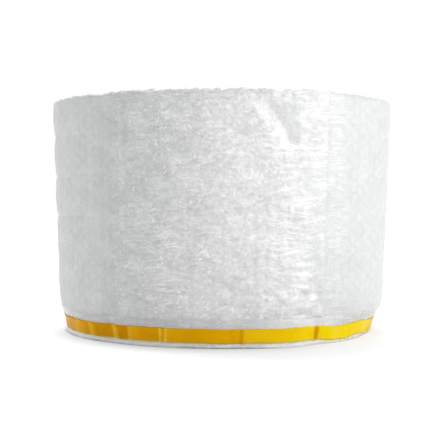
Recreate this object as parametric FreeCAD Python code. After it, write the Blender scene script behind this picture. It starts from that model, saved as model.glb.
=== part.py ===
"""Roll of bubble bags, standing on its open end.

One web of bubble film is folded along its length into flat bags.  The closed fold is the
roll's upper end, the open mouths and their sealing lips are its lower end.  Every bag is
parted from the next by a cross seal with a perforation.  The web is wound into a roll
with no core, and its outer end lies on the turn below.  A strip of amber release liner
runs along the lips, from bag to bag.

Millimetres.  +Z is the winding axis, pointing at the folded end.  The origin is on that
axis, on the plane that the lips stand on.  -Y is the front.

While it is being built the web's outer end lies along +X, and the web winds in clockwise.
"""

import FreeCAD
import Part

import math
import os

INCH = 25.4

# Bag web
BAG_DEPTH = 8 * INCH  # closed fold to mouth
BAG_WIDTH = 9 * INCH  # cross seal to cross seal, along the folds
LIP_DEPTH = 1 * INCH  # flap below the mouth
BUBBLE_HEIGHT = 3 / 16 * INCH  # one panel of bubble film
LIP_THICKNESS = 0.3  # the two films of the flap, fused
SEAL_THICKNESS = 0.6  # both panels, melted flat at a cross seal
SEAL_DIP = 1.2  # how far a cross seal draws the outer turn in
SEAL_DIP_RADIUS = 12.0  # roundness of that furrow

# Roll
EYE_RADIUS = 2.625 * INCH  # the mandrel that the web was wound on
WEB_LAYERS = 11.5  # layers between the eye and the web's outer end
MOUTH_LEAN = 7.4  # the mouths wind tighter than the folds by this much
LIP_LEAN = 3.9  # the outer turn's lip bends in under the roll
OUTER_END_BEARING = 34.5  # degrees from the front, towards +X
SEAL_BAND = 8.0  # flat band at the web's outer end
SEAL_RAMP = 30.0  # length over which the last bag thins down to that band
RAMP_SECTIONS = 4
TUCK_ANGLE = 16.0  # how far the liner shows under the web's outer end, degrees

# Edges of the turns
FURROW_DEPTH = BUBBLE_HEIGHT  # V between two neighbouring folds, or two inner lips
SHOULDER_FACETS = 3  # flats round the outer side of the outermost fold
MOUTH_BEVEL = 1.3

# Release liner, with the adhesive that it covers
LINER_WIDTH = 0.5 * INCH
LINER_THICKNESS = 0.3
LINER_ABOVE_EDGE = 4.5  # lip's lower edge to the liner's

# Worked out from the sizes above
PITCH = 2 * BUBBLE_HEIGHT
HEIGHT = BAG_DEPTH + LIP_DEPTH
OUTER_RADIUS = EYE_RADIUS + WEB_LAYERS * PITCH  # axis to the web's outer end, at the fold
MOUTH_PITCH = PITCH - MOUTH_LEAN / WEB_LAYERS
HALF_TURNS = round(2 * WEB_LAYERS)
TAIL_LIP_LEAN = LIP_LEAN + MOUTH_PITCH / 2 - 1.2  # the last lip lies on the one below
OVERLAP = 1.0  # how far a piece is carried into the one that it is fused to

UP = FreeCAD.Vector(0, 0, 1)


class Spiral:
    """The web's outer face as half circles on two centres, half a pitch apart.

    Each half turn meets the next on a common tangent.  Half turn 0 starts at the web's
    outer end.  Angles are counted along the winding, from the half turn's own start.
    """

    def __init__(self, pitch, outermost):
        self.step = pitch / 2
        self.outermost = outermost

    def radius(self, half_turn):
        return self.outermost - self.step / 2 - half_turn * self.step

    def centre(self, half_turn):
        return FreeCAD.Vector(self.step / 2 if half_turn % 2 == 0 else -self.step / 2, 0, 0)

    def placed(self, wire, half_turn, angle):
        """A wire drawn in radius and height, stood up at an angle of a half turn."""
        centre = self.centre(half_turn)
        start = 0.0 if half_turn % 2 == 0 else 180.0
        wire = wire.translated(centre)
        wire.rotate(centre, UP, start - angle)
        return wire

    def turned(self, wire, half_turn, first=0.0, last=180.0):
        """Solid of one section between two angles of a half turn."""
        face = Part.Face(self.placed(wire, half_turn, last))
        return face.revolve(self.centre(half_turn), UP, last - first)

    def blended(self, section, half_turn, first, last):
        """Solid of a changing section: section(share), with share from 0 to 1."""
        wires = []
        for count in range(RAMP_SECTIONS + 1):
            way = count / RAMP_SECTIONS
            share = way * way * (3 - 2 * way)
            angle = first + way * (last - first)
            wires.append(self.placed(section(share), half_turn, angle))
        return Part.makeLoft(wires, True, False)

    def outer_turn(self, section):
        """The turn in view: flat where the web ends, then thickening to a full bag."""
        band = math.degrees(SEAL_BAND / self.radius(0))
        ramp = band + math.degrees(SEAL_RAMP / self.radius(0))
        inner = self.radius(2)
        return [
            self.turned(section(inner, 0.0), 0, 0.0, band),
            self.blended(lambda share: section(inner, share), 0, band, ramp),
            self.turned(section(inner, 1.0), 0, ramp, 180.0),
            self.turned(section(self.radius(3), 1.0), 1),
        ]


FOLDS = Spiral(PITCH, OUTER_RADIUS)
MOUTHS = Spiral(MOUTH_PITCH, OUTER_RADIUS - MOUTH_LEAN)


def point(radius, z):
    return FreeCAD.Vector(radius, 0, z)


def polygon(points):
    corners = [point(radius, z) for radius, z in points]
    return Part.makePolygon(corners + corners[:1])


def mix(thin, full, share):
    return thin + share * (full - thin)


def leaning(radius, z):
    """Radius at height z of a turn whose fold has the radius given."""
    return radius - MOUTH_LEAN * (HEIGHT - z) / BAG_DEPTH


def panel_section(inner, share):
    """Outer turn of bag, from the turn below it outwards; share 0 is melted flat."""
    thick = mix(SEAL_THICKNESS, PITCH, share)
    outer = inner + thick
    half = thick / 2
    bevel = min(MOUTH_BEVEL, half)
    points = [
        (leaning(inner, LIP_DEPTH) - OVERLAP, LIP_DEPTH),
        (leaning(outer, LIP_DEPTH) - bevel, LIP_DEPTH),
        (leaning(outer, LIP_DEPTH + bevel), LIP_DEPTH + bevel),
    ]
    for count in range(SHOULDER_FACETS + 1):
        turn = math.pi / 2 * count / SHOULDER_FACETS
        z = HEIGHT - half + half * math.sin(turn)
        points.append((leaning(inner + half + half * math.cos(turn), z), z))
    points.append((inner, HEIGHT - FURROW_DEPTH * thick / PITCH))
    points.append((inner - OVERLAP, HEIGHT - FURROW_DEPTH - OVERLAP))
    return polygon(points)


def inner_turns(spiral, first, side, edge):
    """Half of the turns from half turn `first` in, ridged at their edges: one solid.

    side is the list of (radius, height) points down or up the outermost face, and
    edge(radius) gives the furrow and the ridge of the turn whose face has that radius.
    """
    within = EYE_RADIUS / 2
    points = [(within, side[0][1])] + side
    for half_turn in range(first, HALF_TURNS, 2):
        points += edge(spiral.radius(half_turn))
    points.append((within, points[-2][1]))
    return spiral.turned(polygon(points), first)


def inner_panels(first):
    """Half of the bags under the outer turn, with the spiral of their folds on top."""

    def fold(radius):
        return [(radius, HEIGHT - FURROW_DEPTH), (radius - PITCH / 2, HEIGHT)]

    foot = (leaning(FOLDS.radius(first), LIP_DEPTH), LIP_DEPTH)
    return inner_turns(FOLDS, first, [foot], fold)


def lip_line(face, lean, z):
    """Radius at height z of a lip's outer side; face is its radius at the mouth."""
    return face - lean * (1 - z / LIP_DEPTH)


def inner_lips(first):
    """Half of the lips within the outer turn's, pressed together into one."""

    def lip_edge(radius):
        face = radius - MOUTH_PITCH / 2 - LIP_LEAN
        return [(face, 0), (face - MOUTH_PITCH / 2, FURROW_DEPTH)]

    face = MOUTHS.radius(first) - MOUTH_PITCH / 2
    root = (lip_line(face, LIP_LEAN, LIP_DEPTH + OVERLAP), LIP_DEPTH + OVERLAP)
    return inner_turns(MOUTHS, first, [root], lip_edge)


def outer_lip(inner, share):
    """(outer side of the outer turn's lip at the mouth, its lean)."""
    thick = mix(SEAL_THICKNESS, MOUTH_PITCH, share)
    return inner + thick / 2, mix(TAIL_LIP_LEAN, LIP_LEAN, share)


def strip_on_lip(inner, share, low, high, inside, outside):
    """Section of a strip along the outer lip, between two offsets from its outer side."""
    face, lean = outer_lip(inner, share)
    foot, head = lip_line(face, lean, low), lip_line(face, lean, high)
    return polygon(
        [(foot + inside, low), (foot + outside, low), (head + outside, high), (head + inside, high)]
    )


def flap_section(inner, share):
    return strip_on_lip(inner, share, 0, LIP_DEPTH + OVERLAP, -LIP_THICKNESS, 0)


def liner_section(inner, share):
    high = LINER_ABOVE_EDGE + LINER_WIDTH
    return strip_on_lip(inner, share, LINER_ABOVE_EDGE, high, 0, LINER_THICKNESS)


def seal_furrows():
    """A shallow upright furrow in the outer turn at every cross seal but the last."""
    furrows = []
    for count in range(1, int(2 * math.pi * (OUTER_RADIUS - PITCH) / BAG_WIDTH) + 1):
        half_turn, distance = 0, count * BAG_WIDTH
        while distance > math.pi * FOLDS.radius(half_turn):
            distance -= math.pi * FOLDS.radius(half_turn)
            half_turn += 1
        radius = FOLDS.radius(half_turn) + SEAL_DIP_RADIUS - SEAL_DIP
        top = HEIGHT + OVERLAP
        line = Part.makeLine(point(leaning(radius, 0), 0), point(leaning(radius, top), top))
        line = FOLDS.placed(line, half_turn, math.degrees(distance / FOLDS.radius(half_turn)))
        foot, head = (vertex.Point for vertex in line.Vertexes)
        furrows.append(Part.makeCylinder(SEAL_DIP_RADIUS, line.Length, foot, head - foot))
    return furrows


def bubble_bag_web():
    pieces = [inner_panels(3), inner_lips(2), inner_lips(3)]
    pieces += FOLDS.outer_turn(panel_section) + MOUTHS.outer_turn(flap_section)
    eye = Part.makeCylinder(EYE_RADIUS, HEIGHT)
    return inner_panels(2).fuse(pieces).cut([eye] + seal_furrows())


def release_liner():
    """One strip round the outer turn, carried on a little way under the web's end."""
    pieces = MOUTHS.outer_turn(liner_section)
    tucked = liner_section(MOUTHS.radius(4), 1.0)
    pieces.append(MOUTHS.turned(tucked, 2, 0.0, TUCK_ANGLE))
    return pieces[0].fuse(pieces[1:])


def finished(shape):
    """Turns the web's outer end to its bearing, and makes sure of one sound solid."""
    shape = shape.removeSplitter()
    shape.rotate(FreeCAD.Vector(), UP, OUTER_END_BEARING - 90.0)
    if len(shape.Solids) != 1 or not shape.isValid():
        raise RuntimeError(f"{len(shape.Solids)} solids, valid: {shape.isValid()}")
    return shape.Solids[0]


def main():
    nodes = {"bubble_bag_web": bubble_bag_web(), "release_liner": release_liner()}
    os.makedirs("parts", exist_ok=True)
    for name, shape in nodes.items():
        finished(shape).exportStep(f"parts/{name}.step")


main()
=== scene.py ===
"""Looks for the roll of bubble bags.  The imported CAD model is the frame; all lengths are metres.

The web is one long flat tube of bubble film, wound clockwise from its outer end.  Two numbers
place everything on it: the winding angle `w`, in radians from the outer end, and the height z.

Bubbles, wrinkles and noise are laid out on the flat film instead: `along` is the distance from
the outer end, and `over` the distance from the mouth, up the outer panel and over the fold.
What changes round the roll reads `bearing`, in degrees from the front towards +X.
"""

from collections import namedtuple
import math

import bpy
import numpy as np
from mathutils import Matrix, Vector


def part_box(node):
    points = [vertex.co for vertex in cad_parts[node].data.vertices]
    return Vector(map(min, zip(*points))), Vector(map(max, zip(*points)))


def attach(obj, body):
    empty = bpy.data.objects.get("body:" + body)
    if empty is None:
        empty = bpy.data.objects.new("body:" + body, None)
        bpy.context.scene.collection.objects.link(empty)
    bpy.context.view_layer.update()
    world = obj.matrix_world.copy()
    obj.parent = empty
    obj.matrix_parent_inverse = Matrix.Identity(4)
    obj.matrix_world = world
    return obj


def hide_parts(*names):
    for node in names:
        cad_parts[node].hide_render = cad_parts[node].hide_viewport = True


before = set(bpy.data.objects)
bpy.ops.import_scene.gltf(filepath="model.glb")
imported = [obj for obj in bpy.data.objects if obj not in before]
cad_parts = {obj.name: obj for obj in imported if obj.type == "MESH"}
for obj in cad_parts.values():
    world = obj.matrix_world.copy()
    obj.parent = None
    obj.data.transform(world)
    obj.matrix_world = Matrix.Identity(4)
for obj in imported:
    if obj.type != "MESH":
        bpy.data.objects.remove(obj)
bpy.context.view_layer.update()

MM = 0.001
TURN = 2 * np.pi
LOW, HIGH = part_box("bubble_bag_web")
HEIGHT = HIGH.z - LOW.z

# The web, as it is modelled in CAD
PANEL = 4.7625 * MM
PITCH = 2 * PANEL
BAG_WIDTH = 228.6 * MM
LIP_DEPTH = 25.4 * MM
LIP_FILM = 0.3 * MM
SEAL_FILM = 0.6 * MM
SEAL_DIP = 1.2 * MM
SEAL_DIP_REACH = 5.5 * MM
EYE_RADIUS = 66.675 * MM
LAYERS = 11.5
OUTER_RADIUS = EYE_RADIUS + LAYERS * PITCH
MOUTH_LEAN = 7.4 * MM
LIP_LEAN = 3.9 * MM
MOUTH_PITCH = PITCH - MOUTH_LEAN / LAYERS
TAIL_LIP_LEAN = LIP_LEAN + MOUTH_PITCH / 2 - 1.2 * MM
SEAL_BAND = 8.0 * MM
SEAL_RAMP = 30.0 * MM
OUTER_END = math.radians(34.5)
LINER_LOW, LINER_HIGH = 4.5 * MM, 17.2 * MM
LINER_FILM = 0.3 * MM
ALL_TURNS = LAYERS * TURN
TUCK = 0.3  # how far the turn in view carries on under the web's outer end, radians

# Bubbles: upright columns, each half a step off its neighbours
BUBBLE_STEP = 11.8 * MM
BUBBLE_COLUMN = 10.2 * MM
BUBBLE_RADIUS = 4.9 * MM
BUBBLE_RISE, MORE_AROUND, MORE_ON_FOLD = 0.32, 0.22, 0.55  # mm: in front, sides and back, folds

# Pulled wrinkles of the turn in view: length, and gap between two
STREAK_LENGTH, SHORT_STREAK, NEAR_END_STREAK = 30 * MM, 15 * MM, 26 * MM
STREAK_GAP, SHORT_STREAK_GAP = 4.6 * MM, 2.4 * MM

# Rings round the outer turns, where the film buckled as it was wound: their depth in mm at
# winding angles in degrees
RING_FIRST = 37.1 * MM
RING_STEP = 38.6 * MM
RING_DEPTH = (
    [0, 73, 87, 105, 165, 235, 285, 325, 360],
    [0.15, 0.2, 1.3, 2.2, 2.0, 1.6, 1.4, 1.0, 0.4],
)

# Slanting pleat in the last bag: its valley is this far from the outer end at one height
PLEAT_AWAY, PLEAT_HEIGHT, PLEAT_SLANT = 45 * MM, 183 * MM, 0.69
PLEAT_DEPTH = 2.6
PLEAT_LEFT = ([0, 15, 25, 42], [-PLEAT_DEPTH, 0.7, 0.6, 0])  # mm left of the valley, and push
PLEAT_CREASE = 37 * MM

# Painted shade on the bags round the roll: how much their colour is darkened where less light
# falls on them.  The turn in view goes on below -180 degrees, and passes under the web's outer end
# at -325.5.
ROLL_PAINTED_SHADE = (
    [-326, -317, -308, -250, -110, -44, -41, -36, -30, -20, -12, -4, 31, 34],
    [0.26, 0.24, 0.05, 0.3, 0.6, 0.72, 0.85, 1.0, 0.95, 0.7, 0.4, 0.1, 0.0, 0.2],
)

# Milky whitening on the last bag, partly painted light: lightest right of the front, where the
# light falls
LAST_BAG_HAZE_AND_PAINTED_LIGHT = (
    [-40, -22, -8, 6, 10, 24, 31, 34],
    [0.0, 0.02, 0.18, 0.34, 0.36, 0.20, 0.04, 0.0],
)

# Lip: how far it flares at its foot, bends in on the right, and is laid down at the outer end
LIP_FLARE, LIP_FLARE_HEIGHT = 3.0 * MM, 5 * MM
LIP_BEND_RIGHT = 4.4 * MM
LIP_LAID, LIP_LAID_LENGTH = 1.5 * MM, 16 * MM
LIP_INTO_BAG = 3.5 * MM

# Mouth of the turn in view: the panel draws in over this height, and its edge wanders
MOUTH_HEIGHT, MOUTH_DRAWN_IN = 13 * MM, 1.3 * MM

# Painted shade on the lip above the strip, where it lies back in shadow under the mouth
LIP_PAINTED_SHADE = (
    [-180, -60, -43, -20, -14, -9, 12, 18, 38, 44, 52, 60, 90, 130, 180],
    [0.30, 0.34, 0.44, 0.42, 0.36, 0.14, 0.16, 0.0, 0.0, 0.12, 0.25, 0.33, 0.35, 0.3, 0.3],
)

# How far the liner lies below its line on the lip, in mm, beyond the web's outer end
LINER_DROP = ([30, 36, 41, 50, 57, 64, 80, 130], [0.0, 0.7, 2.0, 1.6, 0.4, 1.8, 2.2, 0.0])

# Painted light on the liner round the roll: from a deeper orange in painted shade, 0, to yellow
# where it is painted lit, 1
LINER_PAINTED_LIGHT = (
    [-180, -70, -36, 0, 6, 20, 32, 36, 100, 180],
    [0.3, 0.1, 0.0, 0.2, 0.42, 0.62, 0.7, 0.9, 0.85, 0.3],
)

# The liner is flat between its cross folds: bearing, stand-off in mm, and painted shade there,
# which is below 0 for a painted highlight where a fold catches the light
LINER_FOLDS = np.array([
    [-180, 0.0, 0.3], [-150, 0.7, 0.0], [-141, 0.1, 0.6], [-118, 0.6, 0.2], [-104, 0.0, 0.7],
    [-84, 0.6, 0.2], [-74, 0.1, 0.5], [-70, 0.5, 0.1], [-67, 0.0, 0.7], [-62, 0.6, 0.3],
    [-59.5, 0.7, -0.5], [-52, 0.0, 0.8], [-50, 0.7, -0.5], [-47, 0.1, 0.9], [-39.2, 0.3, 0.7],
    [-38.2, 0.7, -0.6], [-36.8, 0.5, -0.3], [-36.2, 0.0, 0.9], [-32.8, 0.2, 0.8],
    [-31.8, 0.8, -0.5], [-27, 0.4, 0.3], [-21, 0.2, 0.45], [-20.5, 1.0, -1.0],
    [-19.4, 0.2, 0.7], [-18.7, 1.1, -1.0], [-17.4, 0.4, 0.1], [-12.5, 0.5, 0.2],
    [2.0, 0.3, 0.2], [2.6, 0.6, 0.5], [4.6, 0.2, 0.3],
    [5.6, 0.0, 0.9], [6.6, 0.7, -0.2], [18, 0.5, -0.1], [31.3, 0.6, -0.1], [31.8, 0.0, 1.0],
    [33.2, 0.0, 1.0], [33.8, 0.7, -0.1], [39.5, 0.5, -0.1], [42, 0.9, -0.6], [45, 0.3, 0.0],
    [63, 0.5, 0.0], [76, 0.0, 0.5], [79, 0.7, 0.0], [101, 0.2, 0.4], [104, 0.8, 0.0],
    [139, 0.0, 0.6], [143, 0.7, 0.0], [180, 0.0, 0.3],
])


# ---------------- curves

def smooth(x):
    """0 below 0, 1 above 1, and an S curve 3 x x - 2 x x x between."""
    x = np.clip(x, 0.0, 1.0)
    return x * x * (3 - 2 * x)


def rising(x, start, reach):
    """0 up to the start, 1 from a reach beyond it, and the S curve between."""
    return smooth((x - start) / reach)


def falling(x, end, reach):
    """1 up to a reach before the end, 0 from the end on, and the S curve between."""
    return smooth((end - x) / reach)


def span(x, start, up, end, down):
    """Rising from the start over one reach, and falling to the end over the other."""
    return rising(x, start, up) * falling(x, end, down)


def triple(first, second, third):
    """Three values for each point: its place, or one of its marks."""
    return np.stack(np.broadcast_arrays(first, second, third), -1)


# ---------------- shape of the web

def length_along(w):
    """Distance along the web from its outer end: the spiral's arc, R w - pitch w w / 4 pi."""
    return OUTER_RADIUS * w - PITCH * w * w / (2 * TURN)


def angle_at(length):
    """Winding angle at a distance along the web: the root of length_along."""
    a, b = PITCH / (2 * TURN), OUTER_RADIUS
    return (b - np.sqrt(b * b - 4 * a * length)) / (2 * a)


def bearing_of(w):
    """Degrees from the front, towards +X, from -180 to 180."""
    return (np.degrees(OUTER_END - w) + 180) % 360 - 180


def winding(start, end, step, radius=OUTER_RADIUS, pitch=PITCH):
    """Winding angles from start to end, about a step apart on a spiral: the outer face's."""
    middle = radius - pitch * (start + end) / (2 * TURN)
    return np.linspace(start, end, int((end - start) * middle / step) + 2)


def mouth_winding(start, end, step):
    """The same, a step apart on the lips, as a column."""
    return winding(start, end, step, OUTER_RADIUS - MOUTH_LEAN, MOUTH_PITCH)[:, None]


def turn_face(w, z):
    """Radius of the outer face: falls by a pitch each turn, and leans in towards the mouth."""
    lean = MOUTH_LEAN * (1 - w / ALL_TURNS)
    depth_down = (HEIGHT - z) / (HEIGHT - LIP_DEPTH)
    return OUTER_RADIUS - PITCH * w / TURN - lean * depth_down


def inner_face(w, z):
    """Radius of the inner face: that of the turn below, and never inside the eye."""
    return np.maximum(turn_face(w + TURN, z), EYE_RADIUS)


def fullness(w):
    """0 on the flat seal that ends the web, rising along an S curve to 1 on the full bag."""
    return rising(length_along(w), SEAL_BAND, SEAL_RAMP)


def pleated_fullness(w, z):
    """The same, with a start and a length that differ with height: pleats run from the seal."""
    start = SEAL_BAND * (0.75 + 0.5 * soft_noise(z / (7 * MM), 0 * w, 16))
    coarse = soft_noise(z / (12 * MM), 0.5 + 0 * w, 17)
    fine = soft_noise(z / (5 * MM), 0.5 + 0 * w, 18)
    return rising(length_along(w), start, SEAL_RAMP * (1.1 + 0.5 * coarse + 0.3 * fine))


def bag_thickness(w, z):
    """Flat film at the web's outer end, both panels elsewhere, thinning out at the eye."""
    whole = turn_face(w, z) - inner_face(w, z)
    film = SEAL_FILM * (0.3 + 0.7 * smooth(length_along(w) / (4 * MM)))
    return film + np.maximum(whole - film, 0.0) * pleated_fullness(w, z)


def stand_up(radius, w, z):
    """Points from radius, winding angle and height; the outer end is OUTER_END right of front."""
    bearing = OUTER_END - w
    return triple(radius * np.sin(bearing), -radius * np.cos(bearing), z)


# ---------------- relief of the film

def soft_noise(x, y, seed):
    """Gradient noise from about -1 to 1: dot products with random directions at the four
    corners of each unit cell, blended by a fifth-power S curve.  The last number given to any
    noise is its seed."""
    size = 128
    table = np.random.default_rng(seed).uniform(0, TURN, (size, size))
    x, y = np.broadcast_arrays(x, y)
    cell_x, cell_y = np.floor(x).astype(np.int64), np.floor(y).astype(np.int64)
    in_x, in_y = x - cell_x, y - cell_y

    def corner(i, j):
        turn = table[(cell_x + i) % size, (cell_y + j) % size]
        return np.cos(turn) * (in_x - i) + np.sin(turn) * (in_y - j)

    ease_x = in_x ** 3 * (in_x * (in_x * 6 - 15) + 10)
    ease_y = in_y ** 3 * (in_y * (in_y * 6 - 15) + 10)
    near = corner(0, 0) + ease_x * (corner(1, 0) - corner(0, 0))
    far = corner(0, 1) + ease_x * (corner(1, 1) - corner(0, 1))
    return 1.5 * (near + ease_y * (far - near))


def film_noise(along, across, length, width, seed):
    """Soft noise on the film, with cells of the length and width given in millimetres."""
    return soft_noise(along / (length * MM), across / (width * MM), seed)


def edge_noise(along, length, seed):
    """Soft noise that changes along the web only."""
    return soft_noise(along / (length * MM), 0 * along, seed)


def bubble_domes(along, over):
    """0 to 1: over each bubble (1 - d d / R R) to the power 0.7, where d is the distance to
    the nearest point of the lattice, times that bubble's own fullness."""
    count = 4096
    own = np.random.default_rng(5).uniform(0.55, 1.0, count)
    height = np.zeros(np.broadcast(along, over).shape)
    for odd in (0, 1):
        column = 2 * np.round((along / BUBBLE_COLUMN - odd) / 2) + odd
        row = np.round(over / BUBBLE_STEP - odd / 2) + odd / 2
        off = (along - column * BUBBLE_COLUMN) ** 2 + (over - row * BUBBLE_STEP) ** 2
        dome = np.clip(1 - off / BUBBLE_RADIUS ** 2, 0, 1) ** 0.7
        which = (column * 37 + row * 2 * 101).astype(np.int64) % count
        height = np.maximum(height, dome * own[which])
    return height


def crumples(along, across, waves, shortest, longest, seed):
    """Film that was crushed: a sum of straight-sided folds in random directions, each seen
    only in patches, so that flat facets meet at creases.  Result in metres for a slope of 1."""
    rng = np.random.default_rng(seed)
    total = np.zeros(np.broadcast(along, across).shape)
    for wave in range(waves):
        length = shortest * (longest / shortest) ** rng.random()
        turn, start = rng.uniform(0, np.pi), rng.uniform(0, 50, 2)
        bend = soft_noise(along / (3 * length) + start[0], across / (3 * length), seed + wave)
        run = (along * np.cos(turn) + across * np.sin(turn)) / length + start[1] + 0.5 * bend
        fold = 2 * np.abs(run - np.round(run)) - 0.5
        wide = 2.2 * length
        patch = soft_noise(along / wide, across / wide + start[0], seed + 99 + wave)
        total += length / 2 * fold * smooth(2.2 * patch + 0.35)
    return total


def streaks(along, across, length, gap, seed):
    """Pulled wrinkles along the web: ridges 1 - |noise| of a noise stretched along it."""
    bend = 0.5 * soft_noise(along / (0.8 * length), across / (6 * gap), seed + 1)
    ridge = 1 - np.abs(soft_noise(along / length, across / gap + bend, seed)) * 1.8
    return np.clip(ridge, 0, 1) ** 1.5


def seal_closeness(along):
    """1 on the middle of each cross seal, falling along a bell curve to 0 on the bags."""
    off = along - BAG_WIDTH * np.round(along / BAG_WIDTH)
    return np.exp(-(off / SEAL_DIP_REACH) ** 2)


def off_cross_seals(along):
    """1 on the bags, 0 on the cross seals, where the bubbles are melted flat."""
    return 1 - smooth(seal_closeness(along) * 1.6 - 0.25)


def ring_dents(w, z):
    """Shallow notches round the roll: -depth (1 - sqrt |sin|), with a depth for each side."""
    less = 0.35 + 0.65 * rising(z, 70 * MM, 45 * MM)
    drift = 0.10 * soft_noise(w * 2.2, z / (60 * MM), 21)
    wave = np.abs(np.sin(np.pi * ((z - RING_FIRST) / RING_STEP + drift)))
    return -np.interp(np.degrees(w), *RING_DEPTH) * MM * less * (1 - np.sqrt(wave))


def pleat_line(z):
    """Distance from the outer end of the pleat's valley: it slants to the outer end, going down."""
    return PLEAT_AWAY + PLEAT_SLANT * (z - PLEAT_HEIGHT)


def pleat_flat(along, z):
    """1 on the pleat's smooth side, between the outer end's crease and the valley."""
    wide = span(along, PLEAT_CREASE - MM, 2 * MM, pleat_line(z), 4 * MM)
    return wide * span(z, 180 * MM, 6 * MM, 218 * MM, 5 * MM)


def upright_crease(along, away, half_width):
    """1 - |distance| / half width, for a crease so far from the outer end."""
    return np.clip(1 - np.abs(along - away) / half_width, 0, 1)


def last_bag_dents(along, z):
    """Broad slack in the loose last bag: soft noise, one slanting pleat under its fold with a
    straight-sided valley, and two upright creases."""
    valley = pleat_line(z)
    left = np.interp((along - valley) / MM, *PLEAT_LEFT)
    down_to_valley = (along - PLEAT_CREASE) / np.maximum(valley - PLEAT_CREASE, MM)
    right = -PLEAT_DEPTH * np.clip(down_to_valley, 0, 1)
    pleat = np.where(along > valley, left, right) * span(z, 175 * MM, 9 * MM, 220 * MM, 7 * MM)
    slack = film_noise(along, z, 46, 38, 31) + 0.5 * film_noise(along, z, 22, 20, 32)
    short = upright_crease(along, 47.7 * MM, 1.5 * MM)
    short = short * span(z, 107 * MM, 3 * MM, 129 * MM, 3 * MM)
    long = upright_crease(along, 22 * MM, 3 * MM) * falling(z, 112 * MM, 20 * MM)
    return (0.9 * slack + pleat - 0.7 * short - 0.5 * long) * MM


# ---------------- meshes

def grid_faces(rows, columns):
    """Quads of a grid of rows by columns, the last column joined to the first."""
    row, column = np.meshgrid(np.arange(rows - 1), np.arange(columns), indexing="ij")
    here, there = row * columns, (row + 1) * columns
    after = (column + 1) % columns
    corners = [here + column, here + after, there + after, there + column]
    return np.stack(corners, -1).reshape(-1, 4)


def end_faces(rows, columns):
    """One flat face over the first section, and one over the last."""
    ring = np.arange(columns)
    return np.stack([ring[::-1], (rows - 1) * columns + ring])


def fill_mesh(mesh, points, faces):
    """Points and faces from whole arrays; quads are smooth, the flat ends aren't."""
    corners = np.concatenate([f.ravel() for f in faces]).astype(np.int32)
    counts = np.concatenate([np.full(len(f), f.shape[1]) for f in faces])
    mesh.vertices.add(len(points))
    mesh.vertices.foreach_set("co", points.astype(np.float32).ravel())
    mesh.loops.add(len(corners))
    mesh.loops.foreach_set("vertex_index", corners)
    mesh.polygons.add(len(counts))
    mesh.polygons.foreach_set("loop_start", (np.cumsum(counts) - counts).astype(np.int32))
    mesh.update(calc_edges=True)
    mesh.validate()
    sides = np.empty(len(mesh.polygons), np.int32)
    mesh.polygons.foreach_get("loop_total", sides)
    mesh.polygons.foreach_set("use_smooth", sides == 4)


def film_piece(name, points, material, marks):
    """A closed section carried along the web, with a flat face at each end.

    The marks are attributes that the materials read: web is (along, over, 0), relief is
    (crumple, streak, bubble) or the liner's folds, and tone is what each material says.
    """
    rows, columns = points.shape[:2]
    mesh = bpy.data.meshes.new(name)
    fill_mesh(mesh, points.reshape(-1, 3), [grid_faces(rows, columns), end_faces(rows, columns)])
    for title, values in marks.items():
        attribute = mesh.attributes.new(title, "FLOAT_VECTOR", "POINT")
        attribute.data.foreach_set("vector", values.astype(np.float32).ravel())
    mesh.materials.append(material)
    made = bpy.data.objects.new(name, mesh)
    bpy.context.scene.collection.objects.link(made)
    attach(made, "root")
    return made


# ---------------- bags

Section = namedtuple("Section", "radius z out_r out_z over shown")


def bag_section(w, outer_rows, fold_rows, inner_rows):
    """Closed section of the bag at each winding angle, clockwise seen along the web.

    Up the outer face, over the fold on a half circle, down the inner face, and back under
    the mouth, whose lower edge is two rounded panel edges: edge (1 + cos 4 pi g) / 2.
    Gives radius, height, the outward direction as (radial, upward), the distance across
    the film from the mouth, and 1 on the outer face and the fold.
    """
    edge = 1.4 * MM
    mouth_rows = 7
    half = bag_thickness(w, HEIGHT) / 2
    top = HEIGHT - half
    rise = np.linspace(0, 1, outer_rows)[None, :]
    z_outer = LIP_DEPTH + edge + (top - LIP_DEPTH - edge) * rise
    r_outer = inner_face(w, z_outer) + bag_thickness(w, z_outer)
    turn = np.linspace(0, np.pi, fold_rows + 2)[None, 1:-1]
    z_fold = top + half * np.sin(turn)
    r_fold = inner_face(w, top) + half + half * np.cos(turn)
    z_inner = top - (top - LIP_DEPTH - edge) * np.linspace(0, 1, inner_rows)[None, :]
    r_inner = inner_face(w, z_inner)
    across = np.linspace(0, 1, mouth_rows + 2)[None, 1:-1]
    z_mouth = LIP_DEPTH + edge * (1 + np.cos(2 * TURN * across)) / 2 + 0 * w
    r_mouth = inner_face(w, LIP_DEPTH) + across * bag_thickness(w, LIP_DEPTH)

    def at_each_angle(*runs):
        return np.concatenate(runs)[None] + 0 * w

    outer, inner, mouth = np.ones(outer_rows), np.ones(inner_rows), np.ones(mouth_rows)
    over_fold = top - LIP_DEPTH + half * turn
    over_inner = (2 * top - LIP_DEPTH - z_inner) + half * (np.pi - 2)
    return Section(
        radius=np.concatenate([r_outer, r_fold, r_inner, r_mouth], 1),
        z=np.concatenate([z_outer, z_fold, z_inner, z_mouth], 1),
        out_r=at_each_angle(outer, np.cos(turn[0]), -inner, 0 * mouth),
        out_z=at_each_angle(0 * outer, np.sin(turn[0]), 0 * inner, -mouth),
        over=np.concatenate([z_outer - LIP_DEPTH, over_fold, over_inner, 0 * z_mouth], 1),
        shown=at_each_angle(outer, np.ones(fold_rows), 0 * inner, 0 * mouth),
    )


def bag_piece(name, w, bag, push, lift, film, relief, tone):
    """Moves a section outwards by push and up by lift, and makes a piece of it."""
    points = stand_up(bag.radius + bag.out_r * push, w, bag.z + bag.out_z * push + lift)
    marks = {"web": triple(length_along(w), bag.over, 0), "relief": relief, "tone": tone}
    return film_piece(name, points, film, marks)


def fold_lumps(along, over):
    """Unevenness of the folds of the turn in view, in mm: two sizes of noise, sunk a little."""
    return 0.6 * film_noise(along, over, 16, 9, 8) + 0.5 * film_noise(along, over, 6, 5, 19) - 0.9


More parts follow.
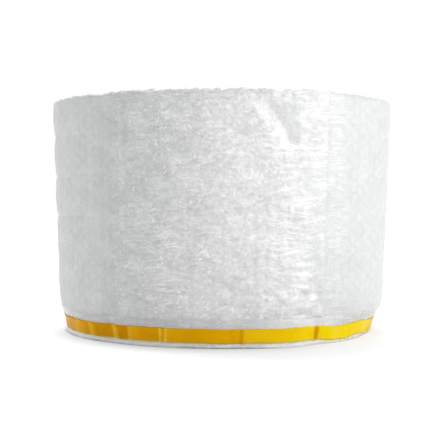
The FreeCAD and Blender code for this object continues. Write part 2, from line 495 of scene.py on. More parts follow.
def turn_wrinkles(along, z, bearing, around):
    """How far the film is crumpled and streaked, from 0 to 1, away from the last bag's front:
    in patches where `around` is 1, and streaked beside the web's outer end."""
    crumple = 0.5 * around * smooth(1.5 * film_noise(along, z, 38, 30, 36) + 0.2)
    by_the_end = 0.45 * span(bearing, -326, 1, -311, 12)
    in_patches = 0.5 * around * smooth(1.5 * film_noise(along, z, 50, 16, 37) - 0.1)
    return crumple, np.maximum(by_the_end, in_patches)


def pulled_film(along, z, bearing, off_seals):
    """How far the last bag is pulled into streaks: wholly on the right of the front, in
    patches on its left, and least over the mouth."""
    patches = 0.36 + 0.5 * film_noise(along, z, 30, 22, 34)
    low_left = 0.35 * falling(bearing, -4, 14) * falling(z, 150 * MM, 50 * MM)
    left = np.clip(patches + low_left, 0.15, 0.95) * rising(bearing, -40, 22)
    right = smooth((bearing - 2) / 18 + 0.4 * film_noise(along, z, 24, 17, 33))
    return np.maximum(left, right) * rising(z, LIP_DEPTH, 14 * MM) * (0.6 + 0.4 * off_seals)


def crushed_film(bearing, off_seals):
    """How far the last bag is crushed: least on the left, and a little less on the right."""
    left, right = rising(bearing, -40, 36), rising(bearing, 12, 12)
    return off_seals * (1 - 0.35 * right) * (0.4 + 0.6 * left)


def last_bag_haze_and_painted_light(along, z, bearing):
    """Milky whitening of the last bag, partly painted light: a share for each bearing, with patches
    and blots, and a ridge of it beside the pleat's valley, a painted highlight."""
    blots = np.clip(film_noise(along, z, 11, 7, 35) - 0.15, 0, 1) * rising(bearing, -14, 20)
    patches = 0.19 * film_noise(along, z, 24, 17, 33)
    haze_and_painted_light = np.interp(bearing, *LAST_BAG_HAZE_AND_PAINTED_LIGHT) + patches + 0.7 * blots
    # Painted highlight: a ridge of whitening beside the pleat's valley.
    ridge = smooth(1 - np.abs((along - pleat_line(z)) / MM - 8) / 9)
    ridge = ridge * span(z, 172 * MM, 8 * MM, 222 * MM, 7 * MM)
    return haze_and_painted_light * falling(z, HEIGHT - 3 * MM, 12 * MM) + 0.5 * ridge


def last_bag_relief(along, over, crumple, streak):
    """Wrinkles of the last bag that are deep enough to be geometry."""
    crushed = crumple * 0.055 * crumples(along, over, 26, 3.5 * MM, 12 * MM, 41)
    long = 0.50 * streaks(along, over, STREAK_LENGTH, STREAK_GAP, 51)
    short = 0.24 * streaks(along, over, SHORT_STREAK, SHORT_STREAK_GAP, 53)
    return crushed + streak * (long + short) * MM


def wound_bag(name, w, rows, loose, film):
    """A run of the web at the winding angles given, with its relief pushed outwards.

    `rows` are the points up the outer face, over the fold and down the inner face.  The last
    bag is loose: slack, crumpled and streaked, with fewer bubbles to be seen.
    """
    w = w[:, None]
    bag = bag_section(w, *rows)
    z, over, along = bag.z, bag.over, length_along(w)
    bearing = np.degrees(OUTER_END - w) + 0 * z
    upwards = np.clip(bag.out_z, 0, 1)
    around = span(bearing, -292, 20, -62, 30)
    room = smooth((bag_thickness(w, z) - SEAL_FILM) / (2 * MM))
    domes = bubble_domes(along, over) * off_cross_seals(along) * room * rising(over, 4 * MM, 6 * MM)
    push = domes * (BUBBLE_RISE + MORE_AROUND * around + MORE_ON_FOLD * upwards) * MM
    push += upwards * fold_lumps(along, over) * MM
    push += ring_dents(w, z) * (1 - upwards)
    push -= SEAL_DIP * seal_closeness(along) * fullness(w)
    crumple, streak = turn_wrinkles(along, z, bearing, around)
    push += 0.35 * MM * streak * streaks(along, over, NEAR_END_STREAK, STREAK_GAP, 55)
    # A little whitening along the streaks, partly painted light.
    haze_and_painted_light = 0.05 * streak
    if loose:
        off_seals = span(along, 4 * MM, 12 * MM, BAG_WIDTH - 3 * MM, 14 * MM)
        flat = pleat_flat(along, z)
        streak = np.maximum(streak, pulled_film(along, z, bearing, off_seals)) * (1 - 0.8 * flat)
        crumple += (1 - around) * crushed_film(bearing, off_seals) * (1 - 0.4 * flat)
        haze_and_painted_light = last_bag_haze_and_painted_light(along, z, bearing) * (1 - 0.8 * flat)
        slack = off_seals * span(z, LIP_DEPTH, 16 * MM, HEIGHT, 20 * MM)
        push = push * (1 - 0.45 * slack) + slack * last_bag_dents(along, z)
        push += last_bag_relief(along, over, crumple, streak)
    mouth = falling(z, LIP_DEPTH + MOUTH_HEIGHT, MOUTH_HEIGHT)
    uncovered = smooth((TURN - w) * OUTER_RADIUS / (8 * MM))
    push -= MOUTH_DRAWN_IN * mouth ** 2 * room
    push *= bag.shown * uncovered
    wander = 1.5 * MM * edge_noise(along, 19, 14) + 0.9 * MM * edge_noise(along, 7, 15)
    # Painted shade: darker on the folds that face up, and round the roll where less light falls.
    shade = np.maximum(0.7 * upwards, np.interp(bearing, *ROLL_PAINTED_SHADE))
    relief = triple(crumple, streak, domes * bag.shown)
    tone = triple(np.clip(haze_and_painted_light, 0, 1), shade, 0)
    return bag_piece(name, w, bag, push, wander * mouth * uncovered, film, relief, tone)


def inner_fold(along, over, upwards, domes):
    """Push of a fold under the turn in view: its bubbles, and noise."""
    return upwards * (domes - 0.2) * MM + upwards * 0.7 * MM * film_noise(along, over, 14, 7, 9)


def inner_bags(name, start, end, film):
    """The turns under the outer one: the same section with few points, bumpy at the folds."""
    w = winding(start, end, 2.9 * MM)[:, None]
    bag, along = bag_section(w, 2, 9, 2), length_along(w)
    upwards = np.clip(bag.out_z, 0, 1)
    domes = bubble_domes(along, bag.over) * off_cross_seals(along)
    push = inner_fold(along, bag.over, upwards, domes)
    push += upwards * 0.9 * MM * edge_noise(along, 60, 10)
    push -= 0.12 * MM * (1 - upwards)
    # Painted shade on the folds that face up.
    relief, tone = triple(0.6 * upwards, 0, domes), triple(0, 0.5 * upwards, 0)
    return bag_piece(name, w, bag, push, 0, film, relief, tone)


def eye_bag(name, start, end, film):
    """The innermost turn, whose inner face is the wall of the eye: bubbles show in it too."""
    w = winding(start, end, 2.2 * MM, EYE_RADIUS, 0.0)[:, None]
    bag, along = bag_section(w, 2, 9, 84), length_along(w)
    upwards = np.clip(bag.out_z, 0, 1)
    inwards = np.clip(-bag.out_r, 0, 1) * (bag.out_z == 0)
    domes = bubble_domes(along, bag.over) * off_cross_seals(along)
    push = inner_fold(along, bag.over, upwards, domes)
    push += inwards * (0.4 * domes + 0.5 * film_noise(along, bag.z, 30, 26, 12)) * MM
    push *= smooth(bag_thickness(w, bag.z) / (3 * MM))
    relief, tone = triple(0.4, 0, domes), triple(0, 0, 0 * domes)
    return bag_piece(name, w, bag, push, 0, film, relief, tone)


# ---------------- lips and liner

def liner_drop(bearing):
    """How far the liner lies below its line on the lip."""
    return MM * np.interp(bearing, *LINER_DROP)


def lip_face(w, z):
    """Outer side of the sealing lip: lean (1 - z / depth) to the power 1.2 inside the middle
    of the mouth, swung out to the outer panel's edge at its top and flared at its foot.  On
    the right it bends further in, by (1 - z / depth) to the power 0.6.  The web's outer end is
    laid on the lip below."""
    below = OUTER_RADIUS - MOUTH_LEAN - MOUTH_PITCH * (w + TURN) / TURN
    along, share = length_along(w), fullness(w)
    thick = SEAL_FILM + (MOUTH_PITCH - SEAL_FILM) * share
    lean = TAIL_LIP_LEAN + (LIP_LEAN - TAIL_LIP_LEAN) * share
    hang = rising(z, 12 * MM, 14 * MM) * (thick / 2 - 1.5 * MM) * share
    right = span(bearing_of(w), 44, 24, 150, 40)
    flare = LIP_FLARE * np.clip(1 - z / LIP_FLARE_HEIGHT, 0, 1) ** 2 * (1 - 0.9 * right)
    dip = SEAL_DIP * seal_closeness(along) * share
    laid = LIP_LAID * smooth(1 - along / LIP_LAID_LENGTH) * falling(z, LIP_DEPTH, 6 * MM)
    free = np.clip(1 - z / LIP_DEPTH, 0, 1)
    bent = lean * free ** 1.2 + LIP_BEND_RIGHT * right * free ** 0.6
    return below + thick / 2 + hang + flare - dip - laid - bent


def lip_waves(w, z):
    """How far the slack lip stands off its line: soft noise, nothing at the mouth."""
    along = length_along(w)
    wave = 0.7 * film_noise(along, z, 34, 40, 61) + 0.35 * film_noise(along, z, 12, 14, 62)
    return wave * np.clip(1 - z / LIP_DEPTH, 0, 1) * MM


def both_sides(values):
    """Values down a strip's outer side, and back up its inner side."""
    return np.concatenate([values[:, ::-1], values], 1)


def strip_piece(name, w, outer, z, thickness, film, relief, tone):
    """A strip of film between an outer side and an inner one."""
    radius = np.concatenate([outer[:, ::-1], outer - thickness], 1)
    marks = {"web": triple(length_along(w), both_sides(z), 0), "relief": relief, "tone": tone}
    return film_piece(name, stand_up(radius, w, both_sides(z)), film, marks)


def lip_tones(along, z, bearing, foot, low, above):
    """Milky whitening with painted light, painted shade and painted amber light on the lip, each
    from 0 to 1.

    Whitened with painted light near the foot and right of the front, but for glints of bare film.
    Painted shade above the strip, and a painted shadow at the foot in front.  Amber just under the
    strip: painted light that it takes from the strip.
    """
    bare = smooth(2.2 * film_noise(along, z, 5, 3, 64)) * span(bearing, -20, 20, 150, 40)
    # Painted light: whiter near the foot and right of the front.
    haze_and_painted_light = falling(z, low + 3 * MM, 2 * MM) + 0.5 * span(bearing, -10, 30, 48, 10)
    haze_and_painted_light = haze_and_painted_light - 0.9 * (1 - above) * bare
    in_front = span(bearing, -18, 8, 16, 8)
    # Painted shade above the strip, and a painted shadow at the foot in front.
    shade = above * np.interp(bearing, *LIP_PAINTED_SHADE)
    shade = shade + 0.75 * falling(z, foot + 2.4 * MM, 1.2 * MM) * in_front
    # Painted amber light from the strip, just under it.
    amber = span(z, low - 2.2 * MM, 1.2 * MM, low + 2 * MM, MM)
    return triple(np.clip(haze_and_painted_light, 0, 1), np.clip(shade, 0, 1), amber)


def lips(name, start, end, step, rows, film):
    """Sealing lip along a run of the web, from inside the mouth down to what the roll stands
    on.  Its foot wanders up a little; it is crumpled where the strip leaves it bare."""
    w = mouth_winding(start, end, step)
    along, bearing = length_along(w), bearing_of(w)
    foot = 0.9 * MM * np.clip(edge_noise(along, 26, 63), 0, 1)
    foot = foot * (1 - 0.7 * span(bearing, 36, 14, 120, 20))
    low, high = LINER_LOW - liner_drop(bearing), LINER_HIGH - liner_drop(bearing)
    z = foot + (LIP_DEPTH + LIP_INTO_BAG - foot) * np.linspace(0, 1, rows)[None, :]
    bare = 1 - 0.8 * span(z, low - 2 * MM, 2 * MM, high + 2 * MM, 2 * MM)
    fine = 0.10 * crumples(along, z, 10, 3 * MM, 9 * MM, 65) * falling(z, LIP_DEPTH, 8 * MM) * bare
    outer = lip_face(w, z) + lip_waves(w, z) + fine
    height = both_sides(z)
    above = rising(height, high - MM, MM)
    relief = triple(0.8 - 0.35 * above, 0.7 - 0.2 * above, 0)
    tone = lip_tones(along, height, bearing, foot, low, above)
    return strip_piece(name, w, outer, z, LIP_FILM, film, relief, tone)


def liner(name, start, end, step, film):
    """Amber strip on the lips: a thin band that follows the lip, flat from one slanting cross
    fold to the next, with edges that wander a little and a painted highlight along its lower edge."""
    w = mouth_winding(start, end, step)
    along = length_along(w)
    rise = np.linspace(0, 1, 11)[None, :]
    wander = 0.6 * MM * edge_noise(along, 40, 71) + 0.45 * MM * edge_noise(along, 11, 72)
    slant = 1.2 * edge_noise(along, 30, 74) * (rise - 0.5)
    slant = slant + 0.22 * soft_noise(along / (7 * MM), 4.0 * rise, 76)
    bearing = bearing_of(w - np.radians(slant))
    # Stand-off, and painted shade at the folds, below 0 for a painted highlight.
    stand, fold = (np.interp(bearing, LINER_FOLDS[:, 0], LINER_FOLDS[:, k]) for k in (1, 2))
    z = LINER_LOW + (LINER_HIGH - LINER_LOW) * rise + wander * (0.6 + 0.4 * rise)
    z = z + MM * (stand - 0.4) * (1 - rise) - liner_drop(bearing_of(w))
    ripple = 0.06 * MM * film_noise(along, z, 6, 9, 73)
    outer = lip_face(w, z) + lip_waves(w, z) + LINER_FILM + (0.2 + 0.45 * stand) * MM + ripple
    bearing, fold, height = both_sides(bearing), both_sides(fold), both_sides(z)
    # Painted highlights: paler patches on the right.
    pale = 0.6 * smooth(1.6 * film_noise(along, height, 9, 14, 75))
    pale = pale * span(bearing, 36, 8, 120, 20)
    # Painted highlight along the lower edge, on two stretches in front.
    rim = span(bearing, -66, 8, -6, 10) + span(bearing, 14, 8, 38, 6)
    rim = rim * (both_sides(rise) < 0.05)
    relief = triple(np.clip(fold, 0, 1) * (1 - rim), np.clip(-fold, 0, 1) + pale + 0.9 * rim, 0)
    # Painted light round the roll: yellower on the right.
    tone = triple(np.interp(bearing, *LINER_PAINTED_LIGHT), 0, 0)
    return strip_piece(name, w, outer, z, LINER_FILM, film, relief, tone)


# ---------------- nodes

VALUE_A, VALUE_B, COLOUR_A, COLOUR_B = 2, 3, 6, 7  # sockets of a Mix node


def add(tree, kind, inputs=None, **settings):
    """A node with its settings, its inputs linked where a socket is given and set elsewhere."""
    made = tree.nodes.new("ShaderNode" + kind)
    for title, value in settings.items():
        setattr(made, title, value)
    for key, value in (inputs or {}).items():
        if isinstance(value, bpy.types.NodeSocket):
            tree.links.new(value, made.inputs[key])
        else:
            made.inputs[key].default_value = value
    return made


def sums(tree, operation, first, second=0.0, third=0.0, clamp=False):
    """Output of a Math node."""
    inputs = {0: first, 1: second, 2: third}
    return add(tree, "Math", inputs, operation=operation, use_clamp=clamp).outputs[0]


def plus(tree, first, second, clamp=False):
    """The sum of two values."""
    return sums(tree, "ADD", first, second, clamp=clamp)


def minus(tree, first, second, clamp=False):
    """The first value less the second."""
    return sums(tree, "SUBTRACT", first, second, clamp=clamp)


def times(tree, first, second, clamp=False):
    """The product of two values."""
    return sums(tree, "MULTIPLY", first, second, clamp=clamp)


def most(tree, first, second, clamp=False):
    """The greater of two values."""
    return sums(tree, "MAXIMUM", first, second, clamp=clamp)


def vectors(tree, operation, first, second, output=0):
    """Output of a Vector Math node."""
    inputs = {0: first, 1: second}
    return add(tree, "VectorMath", inputs, operation=operation).outputs[output]


def parts(tree, vector):
    """The three values in a vector."""
    return add(tree, "SeparateXYZ", {0: vector}).outputs


def between(tree, share, low, high):
    """Value from low to high as share goes from 0 to 1."""
    inputs = {"Value": share, "To Min": low, "To Max": high}
    return add(tree, "MapRange", inputs).outputs["Result"]


def share_of(tree, value, low, high, curve="LINEAR"):
    """0 to 1 as a value goes from low to high."""
    inputs = {"Value": value, "From Min": low, "From Max": high}
    return add(tree, "MapRange", inputs, interpolation_type=curve).outputs["Result"]


def mixed(tree, share, low, high, blend="MIX"):
    """Colour from low to high as share goes from 0 to 1."""
    low, high = (c if isinstance(c, bpy.types.NodeSocket) else (*c, 1) for c in (low, high))
    inputs = {0: share, COLOUR_A: low, COLOUR_B: high}
    return add(tree, "Mix", inputs, data_type="RGBA", blend_type=blend).outputs[2]


def noise(tree, vector, scale, detail=2.0, roughness=0.6, distortion=0.0, output="Fac"):
    """Flat noise on the web's own coordinates."""
    inputs = {
        "Vector": vector, "Scale": scale, "Detail": detail,
        "Roughness": roughness, "Distortion": distortion,
    }
    return add(tree, "TexNoise", inputs, noise_dimensions="2D").outputs[output]


def patches(tree, vector, scale, low, high):
    """0 to 1: patches where a noise is over `high`, none where it is under `low`."""
    return share_of(tree, noise(tree, vector, scale), low, high)


def warped(tree, web, scale):
    """The web's coordinates, bent by up to 6 mm by a noise."""
    colour = noise(tree, web, scale, output="Color")
    shift = vectors(tree, "MULTIPLY", colour, (6 * MM, 6 * MM, 0.0))
    return vectors(tree, "ADD", web, shift)


def cells(tree, vector, scale):
    """Scattered cells: what is left from each one's middle, and three random numbers of its own."""
    inputs = {"Vector": vector, "Scale": scale, "Randomness": 1.0}
    made = add(tree, "TexVoronoi", inputs, voronoi_dimensions="2D").outputs
    return vectors(tree, "SUBTRACT", vector, made["Position"]), made["Color"]


# ---------------- wrinkles

def ridge_lines(tree, wave, width):
    """1 along the lines where a noise passes through its middle, 0 a share of it away."""
    off = sums(tree, "ABSOLUTE", minus(tree, wave, 0.5))
    return minus(tree, 1.0, sums(tree, "DIVIDE", off, width), clamp=True)


def facets(tree, web, scale, slope):
    """Crushed film: every cell is a flat facet with its own tilt, in metres of height."""
    away, own = cells(tree, web, scale)
    tilt = vectors(tree, "SUBTRACT", own, (0.5, 0.5, 0.5))
    flat = vectors(tree, "MULTIPLY", tilt, (slope, slope, 0.0))
    return vectors(tree, "DOT_PRODUCT", away, flat, "Value")


def strokes(tree, vector, scale, spread, width, reach):
    """Short straight lines, one in each cell, each at its own angle and strength.  Width and
    reach are in cells."""
    away, own = cells(tree, vector, scale)
    own = parts(tree, own)
    turn = times(tree, minus(tree, own[0], 0.5), spread)
    inputs = {"Vector": away, "Angle": turn}
    turned = add(tree, "VectorRotate", inputs, rotation_type="Z_AXIS").outputs[0]
    place = parts(tree, turned)

    def closeness(distance, most_away):
        share = times(tree, sums(tree, "ABSOLUTE", distance), scale / most_away)
        return minus(tree, 1.0, share, clamp=True)

    ends = times(tree, closeness(place[0], reach), 2.5, clamp=True)
    line = times(tree, closeness(place[1], width), ends)
    strength = between(tree, sums(tree, "POWER", own[1], 2.0), 0.08, 1.3)
    return times(tree, line, strength)


def crushed_film_height(tree, web):
    """Height of film that was crushed: facets of three sizes, the finest the steepest."""
    fine = plus(tree, facets(tree, web, 330.0, 0.20), facets(tree, web, 700.0, 0.36))
    return plus(tree, facets(tree, web, 150.0, 0.10), fine)


def crushed_film_lines(tree, web, crushed, bent):
    """Creases of crushed film, which the materials paint bright, partly as whitening and partly as
    glints: curls, dashes and short glints, each in patches.
    """
    curls = ridge_lines(tree, noise(tree, crushed, 105.0, 3.0, 0.6, 0.6), 0.036)
    curls = times(tree, curls, between(tree, patches(tree, web, 95.0, 0.50, 0.62), 0.0, 0.6))
    small = strokes(tree, bent, 210.0, 2.8, 0.20, 0.48)
    large = strokes(tree, bent, 125.0, 1.4, 0.11, 0.50)
    dashes = most(tree, small, large)
    dashes = times(tree, dashes, between(tree, patches(tree, web, 60.0, 0.42, 0.54), 0.10, 0.95))
    glints = strokes(tree, bent, 260.0, 3.1, 0.36, 0.65)
    glints = times(tree, glints, patches(tree, web, 75.0, 0.52, 0.60))
    return most(tree, most(tree, curls, dashes), glints)


def pulled_film_lines(tree, web, pulled):
    """Creases of pulled film, which the materials paint bright, partly as whitening and partly as
    glints: thin threads and long strokes, each in patches.
    """
    threads = ridge_lines(tree, noise(tree, pulled, 1.0, 3.0, 0.65, 0.5), 0.07)
    threads = times(tree, threads, between(tree, patches(tree, web, 95.0, 0.42, 0.54), 0.0, 0.6))
    large = strokes(tree, pulled, 0.6, 1.8, 0.30, 0.9)
    small = strokes(tree, pulled, 1.2, 2.0, 0.32, 0.85)
    long = times(tree, most(tree, large, small), patches(tree, web, 50.0, 0.34, 0.48))
    return most(tree, threads, long)


def cloudiness(tree, web, pulled, crumple, streak):
    """Milky patches about a middle of 0.5: grain, which is stretched where the film is pulled,
    and stronger where it is wrinkled."""
    specks = sums(tree, "MULTIPLY_ADD", noise(tree, web, 300.0), 0.5, -0.25)
    grain = plus(tree, noise(tree, web, 52.0, 5.0, 0.92), specks)
    long_grain = noise(tree, pulled, 0.45, 3.0, 0.80)
    share = times(tree, streak, 0.75, clamp=True)
    cloud = add(tree, "Mix", {0: share, VALUE_A: grain, VALUE_B: long_grain}).outputs[0]
    contrast = between(tree, most(tree, crumple, streak), 0.6, 1.02)
    return sums(tree, "MULTIPLY_ADD", minus(tree, cloud, 0.5), contrast, 0.5)


def wrinkle_group():
    """Fine wrinkles of thin film: crushed facets, crease lines that the materials paint bright
    (partly whitening, partly painted glints), and pulled streaks.
    """
    tree = bpy.data.node_groups.new("film_wrinkles", "ShaderNodeTree")
    tree.interface.new_socket("Web", in_out="INPUT", socket_type="NodeSocketVector")
    for title in ("Crumple", "Streak"):
        tree.interface.new_socket(title, in_out="INPUT", socket_type="NodeSocketFloat")
    for title in ("Height", "Crease", "Cloud"):
        tree.interface.new_socket(title, in_out="OUTPUT", socket_type="NodeSocketFloat")
    given = tree.nodes.new("NodeGroupInput").outputs
    web, crumple, streak = given["Web"], given["Crumple"], given["Streak"]
    crushed, bent = warped(tree, web, 130.0), warped(tree, web, 45.0)
    inputs = {"Vector": bent, "Scale": (52.0, 300.0, 1.0)}
    pulled = add(tree, "Mapping", inputs, vector_type="POINT").outputs[0]
    crush_lines = times(tree, crushed_film_lines(tree, web, crushed, bent), crumple)
    pull_lines = times(tree, pulled_film_lines(tree, web, pulled), streak)
    crease = most(tree, crush_lines, pull_lines, clamp=True)
    height = times(tree, crushed_film_height(tree, crushed), crumple)
    height = plus(tree, height, times(tree, crease, 0.16 * MM))
    unevenness = times(tree, noise(tree, web, 180.0, 3.0, 0.6), 0.18 * MM)
    results = {
        "Height": plus(tree, height, unevenness),
        "Crease": crease,
        "Cloud": cloudiness(tree, web, pulled, crumple, streak),
    }
    out = tree.nodes.new("NodeGroupOutput")
    for title, value in results.items():
        tree.links.new(value, out.inputs[title])
    return tree


# ---------------- finishes

# The bubble film's colours; the milky white also stands for painted light and glints.
SILVER_DARK = (0.475, 0.48, 0.485)
SILVER_PALE = (0.87, 0.875, 0.88)
SILVER_HAZE_AND_PAINTED_LIGHT = (0.94, 0.94, 0.94)

# The lip's colours: clear, whitening with painted light, creases partly painted glints, painted
# shade, painted amber light.
LIP_CLEAR = (0.72, 0.725, 0.73)
LIP_HAZE_AND_PAINTED_LIGHT = (0.97, 0.975, 0.975)
LIP_CREASE_WHITE_AND_GLINT = (0.98, 0.98, 0.98)
LIP_PAINTED_SHADE_COLOUR = (0.40, 0.405, 0.415)
LIP_PAINTED_AMBER_LIGHT = (1.0, 0.86, 0.50)

# The liner's colours: painted shade, orange, painted light, deeper with painted shade, a painted
# highlight, its thrown light.
AMBER_IN_PAINTED_SHADE = (0.86, 0.42, 0.0002)
AMBER_ORANGE = (0.99, 0.42, 0.0002)
AMBER_IN_PAINTED_LIGHT = (0.99, 0.79, 0.0006)
AMBER_DEEP_AND_PAINTED_SHADE = (0.64, 0.245, 0.0002)
AMBER_PAINTED_HIGHLIGHT = (0.98, 0.76, 0.10)
AMBER_THROWN = (0.72, 0.72, 0.72)


def new_material(name):
    """An empty node material and its tree."""
    material = bpy.data.materials.new(name)
    material.use_nodes = True
    material.node_tree.nodes.clear()
    return material, material.node_tree


def mark(tree, title):
    """An attribute of the piece."""
    return add(tree, "Attribute", attribute_name=title).outputs["Vector"]


def wrinkled(tree, group, crumple, streak):
    """The wrinkle group placed in a material."""
    inputs = {"Web": mark(tree, "web"), "Crumple": crumple, "Streak": streak}
    return add(tree, "Group", inputs, node_tree=group).outputs


def surface(tree, height, inputs):
    """The Principled surface of a film, with its fine relief, in metres, as a bump."""
    relief = {"Strength": 1.0, "Distance": 1.0, "Height": height}
    bump = add(tree, "Bump", relief).outputs[0]
    film = add(tree, "BsdfPrincipled", {**inputs, "Normal": bump}).outputs[0]
    add(tree, "OutputMaterial", {"Surface": film})


def bubble_film(group):
    """Many layers of clear bubble film: silver-white, whitened along its creases, partly as real
    stress whitening and partly as painted glints.

    Relief is (crumple, streak, bubble), and tone (milky whitening with painted light, painted
    shade, nothing).
    """
    material, tree = new_material("bubble_film_silver")
    relief, tone = parts(tree, mark(tree, "relief")), parts(tree, mark(tree, "tone"))
    wrinkles = wrinkled(tree, group, relief[0], relief[1])
    pale = plus(tree, times(tree, relief[2], 0.10), wrinkles["Cloud"])
    # Painted shade darkens the tone.
    pale = minus(tree, pale, times(tree, tone[1], 0.30), clamp=True)
    colour = mixed(tree, pale, SILVER_DARK, SILVER_PALE)
    # Whitening, partly painted light, and crease lines, partly painted glints.
    haze_and_painted_light = plus(tree, times(tree, tone[0], 0.75), wrinkles["Crease"], clamp=True)
    colour = mixed(tree, haze_and_painted_light, colour, SILVER_HAZE_AND_PAINTED_LIGHT)
    rough = between(tree, wrinkles["Crease"], 0.50, 0.38)
    inputs = {"Base Color": colour, "Roughness": rough, "Metallic": 0.15, "IOR": 1.5}
    surface(tree, wrinkles["Height"], inputs)
    return material


def lip_film(group):
    """One clear film: a little see-through, milkier where it is seen edge on, with gloss.

    Relief is (crumple, streak, nothing), and tone (milky whitening with painted light, painted
    shade, painted amber light from the strip).
    """
    material, tree = new_material("lip_film_clear")
    relief, tone = parts(tree, mark(tree, "relief")), parts(tree, mark(tree, "tone"))
    wrinkles = wrinkled(tree, group, relief[0], relief[1])
    edge_on = add(tree, "LayerWeight", {"Blend": 0.35}).outputs["Facing"]
    cover = between(tree, edge_on, 0.90, 0.98)
    cover = plus(tree, cover, times(tree, wrinkles["Crease"], 0.25), clamp=True)
    # Whitening with painted light, creases partly painted glints, painted shade, painted amber
    # light.
    colour = mixed(tree, tone[0], LIP_CLEAR, LIP_HAZE_AND_PAINTED_LIGHT)
    colour = mixed(tree, wrinkles["Crease"], colour, LIP_CREASE_WHITE_AND_GLINT)
    colour = mixed(tree, tone[1], colour, LIP_PAINTED_SHADE_COLOUR)
    colour = mixed(tree, tone[2], colour, LIP_PAINTED_AMBER_LIGHT, "MULTIPLY")
    inputs = {"Base Color": colour, "Roughness": 0.16, "IOR": 1.5, "Alpha": cover}
    surface(tree, wrinkles["Height"], inputs)
    return material


def liner_film(group):
    """Amber release film: deeper orange in patches and with painted shade between its cross folds,
    and a painted highlight on folds that stand out, along its lower edge and in pale patches.

    Relief is (painted shade at a fold, painted highlight at a fold, nothing), and tone (painted
    light, from orange to yellow, nothing, nothing).
    The light that it throws on the floor and the lips is paler than its own colour.
    """
    material, tree = new_material("release_liner_amber")
    relief, tone = parts(tree, mark(tree, "relief")), parts(tree, mark(tree, "tone"))
    wrinkles = wrinkled(tree, group, 0.25, 0.0)
    web = mark(tree, "web")
    patch = noise(tree, web, 38.0, 2.0, 0.5)
    # Deeper in real patches, and in painted shade between the folds.
    deep_and_painted_shade = sums(tree, "MULTIPLY_ADD", patch, 0.36, -0.13)
    deep_and_painted_shade = plus(tree, times(tree, relief[0], 0.75), deep_and_painted_shade, clamp=True)
    # Painted shade and light round the roll: dull orange on the left, yellow on the right.
    orange = mixed(tree, times(tree, tone[0], 3.0, clamp=True), AMBER_IN_PAINTED_SHADE, AMBER_ORANGE)
    colour = mixed(tree, tone[0], orange, AMBER_IN_PAINTED_LIGHT)
    colour = mixed(tree, deep_and_painted_shade, colour, AMBER_DEEP_AND_PAINTED_SHADE)
    # Painted highlight on folds, along the lower edge and in pale patches, broken up.
    broken = between(tree, patches(tree, web, 260.0, 0.42, 0.54), 0.35, 1.0)
    painted_highlight = times(tree, sums(tree, "POWER", relief[1], 1.6), broken)
    colour = mixed(tree, painted_highlight, colour, AMBER_PAINTED_HIGHLIGHT)
    bounced = add(tree, "LightPath").outputs["Is Diffuse Ray"]
    colour = mixed(tree, times(tree, bounced, 0.7), colour, AMBER_THROWN)
    rough = between(tree, patch, 0.25, 0.40)
    inputs = {"Base Color": colour, "Roughness": rough, "IOR": 1.35, "Specular IOR Level": 0.04}
    surface(tree, wrinkles["Height"], inputs)
    return material


# ---------------- studio

FLOOR_HALF = 4.0
FLOOR_LIT, FLOOR_SEEN = (0.95, 0.95, 0.95), (0.98, 0.98, 0.98)
# Painted shadow by the foot, tinted cool against the strip's amber light; it fades out from the
# axis and towards +X.
FLOOR_PAINTED_SHADOW = (0.82, 0.848, 0.872)
PAINTED_SHADOW_RING = (0.205, 0.162)  # from the axis: none of that colour, all of it
PAINTED_SHADOW_RING_RIGHT = (0.14, 0.05)  # along X: the same
FLOOR_GLOW = 0.13
ROOM_LIGHT, ROOM_SEEN = 0.54, 1.0


def turned(degrees, axis):
    """A turn about one axis."""
    return Matrix.Rotation(math.radians(degrees), 4, axis)


def stand(name, data, place):
    """An object in the scene at a place."""
    made = bpy.data.objects.new(name, data)
    made.matrix_world = place
    bpy.context.scene.collection.objects.link(made)
    return made


def seen(tree):
    """1 for what the camera sees, straight, mirrored or through glass; 0 for light."""
    path = add(tree, "LightPath").outputs
    not_straight = plus(tree, path["Is Glossy Ray"], path["Is Transmission Ray"])
    return plus(tree, path["Is Camera Ray"], not_straight, clamp=True)


def white_floor():
    """White floor that keeps the shadow, with a painted shadow, darker and cooler, by the foot in
    front and on the left, and clear from below.
    """
    mesh = bpy.data.meshes.new("floor")
    corners = [(-1, -1), (1, -1), (1, 1), (-1, 1)]
    mesh.from_pydata([(FLOOR_HALF * x, FLOOR_HALF * y, 0) for x, y in corners], [], [(0, 1, 2, 3)])
    floor = stand("floor", mesh, Matrix())
    material, tree = new_material("floor_white")
    by_eye = seen(tree)
    place = add(tree, "TexCoord").outputs["Object"]
    away = vectors(tree, "LENGTH", place, (0.0, 0.0, 0.0), "Value")
    # Painted shadow round the foot, none of it to the right.
    foot = share_of(tree, away, *PAINTED_SHADOW_RING, "SMOOTHSTEP")
    foot = times(tree, foot, share_of(tree, parts(tree, place)[0], *PAINTED_SHADOW_RING_RIGHT))
    white = mixed(tree, by_eye, FLOOR_LIT, FLOOR_SEEN)
    colour = mixed(tree, foot, white, FLOOR_PAINTED_SHADOW)
    strength = times(tree, by_eye, FLOOR_GLOW)
    glow = add(tree, "Emission", {"Color": (1, 1, 1, 1), "Strength": strength}).outputs[0]
    matte = add(tree, "BsdfDiffuse", {"Color": colour}).outputs[0]
    above = add(tree, "AddShader", {0: glow, 1: matte}).outputs[0]
    from_below = add(tree, "NewGeometry").outputs["Backfacing"]
    clear = add(tree, "BsdfTransparent").outputs[0]
    whole = add(tree, "MixShader", {0: from_below, 1: above, 2: clear}).outputs[0]
    add(tree, "OutputMaterial", {"Surface": whole})
    mesh.materials.append(material)


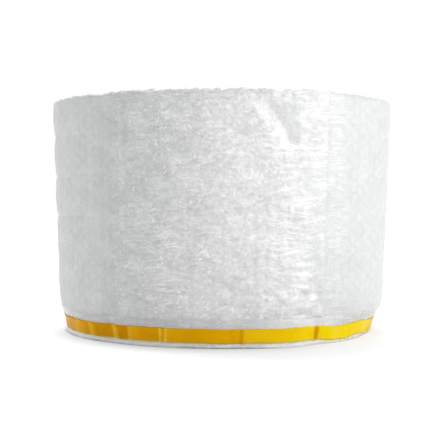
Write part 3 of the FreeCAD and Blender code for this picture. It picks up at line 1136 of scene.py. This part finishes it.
def pale_room():
    """World that lights softly, and is white where it is seen."""
    world = bpy.data.worlds.new("pale_room")
    bpy.context.scene.world = world
    world.use_nodes = True
    tree = world.node_tree
    tree.nodes.clear()
    strength = between(tree, seen(tree), ROOM_LIGHT, ROOM_SEEN)
    back = add(tree, "Background", {"Color": (1, 1, 1, 1), "Strength": strength}).outputs[0]
    add(tree, "OutputWorld", {"Surface": back})


def lamps():
    """A soft box on the right, and light from above and behind."""
    box = bpy.data.lights.new("soft_box", "AREA")
    box.shape = "RECTANGLE"
    box.size, box.size_y = 1.3, 1.5
    box.energy = 9.2
    bearing, away, height, down = 62.0, 1.2, 0.78, 28.0
    round_roll = math.radians(bearing)
    place = Matrix.Translation((away * math.sin(round_roll), -away * math.cos(round_roll), height))
    stand("soft_box", box, place @ turned(bearing, "Z") @ turned(90.0 - down, "X"))
    above = bpy.data.lights.new("overhead", "SUN")
    above.energy, above.angle = 2.1, math.radians(50.0)
    stand("overhead", above, turned(-32.0, "X") @ turned(-14.0, "Y"))


def camera():
    """Long lens a little over a metre away, just over half way up, looking slightly down."""
    lens = bpy.data.cameras.new("camera")
    lens.lens, lens.sensor_width = 88.2, 36.0
    away, height, aside, down, tilt = 1.1058, 0.1333, 0.2, 1.213, 0.213
    aim = turned(aside, "Z") @ turned(90 - down, "X") @ turned(tilt, "Z")
    place = Matrix.Translation((0.0, -away, height)) @ aim
    bpy.context.scene.camera = stand("camera", lens, place)


def roll():
    """The eight pieces.  The last bag in view is the finest, and hidden turns the coarsest."""
    group = wrinkle_group()
    silver, clear, amber = bubble_film(group), lip_film(group), liner_film(group)
    first_seal, second_seal = (float(angle_at(bags * BAG_WIDTH)) for bags in (1, 2))
    under_end, eye_turn = TURN + TUCK, (LAYERS - 1) * TURN
    front, beside = winding(0.0, first_seal, 1.0 * MM), winding(first_seal, second_seal, 1.8 * MM)
    in_view = winding(second_seal, under_end, 1.75 * MM)
    last_turns = np.concatenate([front[:-1], beside])
    last_bag = wound_bag("last_bags", last_turns, (196, 14, 3), True, silver)
    wound_bag("outer_bags", in_view, (112, 10, 3), False, silver)
    inner_bags("inner_bags", under_end, eye_turn, silver)
    eye_bag("eye_bag", eye_turn, ALL_TURNS - 0.02, silver)
    lips("outer_lip", 0.0, under_end, 1.4 * MM, 15, clear)
    lips("inner_lips", under_end, eye_turn, 5.0 * MM, 4, clear)
    strip = liner("release_liner_strip", 0.0, under_end, 0.9 * MM, amber)
    liner("inner_release_liner", under_end, eye_turn, 5.0 * MM, amber)
    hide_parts("bubble_bag_web")
    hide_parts("release_liner")


camera()
white_floor()
pale_room()
lamps()
roll()
bpy.context.scene.view_settings.view_transform = "Standard"
